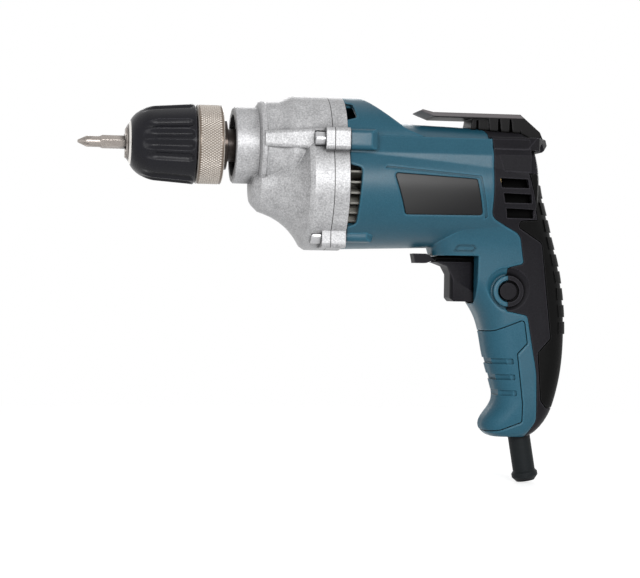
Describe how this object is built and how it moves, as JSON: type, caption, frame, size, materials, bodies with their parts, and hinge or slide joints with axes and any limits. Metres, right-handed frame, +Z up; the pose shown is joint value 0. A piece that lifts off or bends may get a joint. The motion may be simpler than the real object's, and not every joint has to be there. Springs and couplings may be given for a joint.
{
  "type": "corded power drill",
  "caption": "Pistol-grip corded drill with keyless chuck, cast gear case, moulded motor housing, side vents, trigger, reversing lever, lock button, belt hook and cord boot.",
  "frame": {"origin": "on the spindle axis, in the front face of the gear case's clamping collar", "axes": "+X along the spindle towards the back of the tool, +Z up, -Y out of the tool's left side"},
  "size_m": [0.2722, 0.0728, 0.2121],
  "materials": {
    "teal_plastic": "moulded, fine grain",
    "soft_teal": "soft-touch moulding",
    "black_plastic": "moulded, satin",
    "black_rubber": "soft, matt",
    "cast_aluminium": "die cast, blasted",
    "nickel": "nickel plated, knurled",
    "polished_steel": "ground and polished",
    "bit_steel": "hardened, satin",
    "gear_steel": "hobbed",
    "bearing_steel": "ground",
    "bronze": "sintered",
    "brass": "stamped",
    "copper": "enamelled wire",
    "lamination": "stacked sheet",
    "carbon": "pressed carbon",
    "pale_plastic": "moulded",
    "plate_black": "bare plate",
    "zinc_screw": "zinc plated"
  },
  "bodies": {
    "tool_body": {"spindle_front_bearing": "bearing_steel", "spindle_rear_bearing": "bronze", "countershaft_front_bearing": "bronze", "countershaft_rear_bearing": "bronze", "gear_case": "cast_aluminium", "gear_case_plate": "cast_aluminium", "gear_case_screws": "zinc_screw", "motor_housing": "teal_plastic", "handle_cover": "black_plastic", "handle_cover_screws": "zinc_screw", "grip_rubber": "black_rubber", "front_grip_pad": "soft_teal", "belt_hook": "black_plastic", "belt_hook_screw": "zinc_screw", "side_plate": "plate_black", "fan_baffle": "pale_plastic", "armature_front_bearing": "bearing_steel", "armature_rear_bearing": "bearing_steel", "field_core": "lamination", "field_coils": "copper", "brush_carrier": "black_plastic", "brush_holders": "brass", "carbon_brushes": "carbon", "brush_springs": "bearing_steel", "trigger_spring": "bearing_steel", "lock_spring": "bearing_steel", "switch_body": "black_plastic", "suppressor_capacitor": "pale_plastic", "cord_boot": "black_rubber", "cord_clamp": "black_plastic", "cord_clamp_screws": "zinc_screw"},
    "spindle": {"spindle": "gear_steel", "spindle_gear": "gear_steel", "chuck_body": "polished_steel", "chuck_ring": "nickel", "chuck_screw": "zinc_screw"},
    "countershaft": {"countershaft": "gear_steel", "countershaft_gear": "gear_steel"},
    "armature": {"armature_shaft": "gear_steel", "armature_core": "lamination", "armature_windings": "copper", "commutator": "copper", "fan": "pale_plastic"},
    "chuck_sleeve": {"chuck_sleeve": "black_plastic", "chuck_nut": "gear_steel"},
    "chuck_jaw_1": {"chuck_jaw_1": "polished_steel"},
    "chuck_jaw_2": {"chuck_jaw_2": "polished_steel"},
    "chuck_jaw_3": {"chuck_jaw_3": "polished_steel"},
    "screwdriver_bit": {"screwdriver_bit": "bit_steel"},
    "trigger": {"trigger": "black_plastic"},
    "reverse_lever": {"reverse_lever": "black_plastic"},
    "lock_button": {"lock_button": "black_plastic"}
  },
  "joints": [
    {"name": "spindle_spin", "type": "hinge", "parent": "tool_body", "child": "spindle", "pos_m": [0, 0, 0], "axis": [1, 0, 0], "continuous": true},
    {"name": "countershaft_spin", "type": "hinge", "parent": "tool_body", "child": "countershaft", "pos_m": [0.04, 0.01599, -0.02082], "axis": [1, 0, 0], "continuous": true},
    {"name": "armature_spin", "type": "hinge", "parent": "tool_body", "child": "armature", "pos_m": [0.1, 0, -0.0202], "axis": [1, 0, 0], "continuous": true},
    {"name": "sleeve_turn", "type": "hinge", "parent": "spindle", "child": "chuck_sleeve", "pos_m": [-0.04, 0, 0], "axis": [1, 0, 0], "range_deg": [0, 2340]},
    {"name": "jaw_1_slide", "type": "slide", "parent": "spindle", "child": "chuck_jaw_1", "axis": [0.9744, -0.1591, 0.1591], "range_m": [0, 0.013]},
    {"name": "jaw_2_slide", "type": "slide", "parent": "spindle", "child": "chuck_jaw_2", "axis": [0.9744, -0.0582, -0.2173], "range_m": [0, 0.013]},
    {"name": "jaw_3_slide", "type": "slide", "parent": "spindle", "child": "chuck_jaw_3", "axis": [0.9744, 0.2173, 0.0582], "range_m": [0, 0.013]},
    {"name": "bit_slide", "type": "slide", "parent": "spindle", "child": "screwdriver_bit", "axis": [-1, 0, 0], "range_m": [0, 0.026]},
    {"name": "trigger_pull", "type": "slide", "parent": "tool_body", "child": "trigger", "axis": [1, 0, 0], "range_m": [0, 0.0065], "stiffness_N_per_m": 600, "springref_m": -0.004, "deforming": ["trigger_spring"]},
    {"name": "reverse_swing", "type": "hinge", "parent": "tool_body", "child": "reverse_lever", "pos_m": [0.1545, 0, -0.0598], "axis": [0, 0, 1], "range_deg": [-7, 7]},
    {"name": "lock_press", "type": "slide", "parent": "tool_body", "child": "lock_button", "axis": [0, 1, 0], "range_m": [0, 0.0035], "stiffness_N_per_m": 500, "springref_m": -0.003, "deforming": ["lock_spring"]}
  ],
  "couplings": [
    {"joint": "countershaft_spin", "follows": "spindle_spin", "ratio": -3.2},
    {"joint": "armature_spin", "follows": "spindle_spin", "ratio": 15.086},
    {"joint": "jaw_1_slide", "follows": "sleeve_turn", "m_per_rad": 0.00031828},
    {"joint": "jaw_2_slide", "follows": "sleeve_turn", "m_per_rad": 0.00031828},
    {"joint": "jaw_3_slide", "follows": "sleeve_turn", "m_per_rad": 0.00031828}
  ]
}
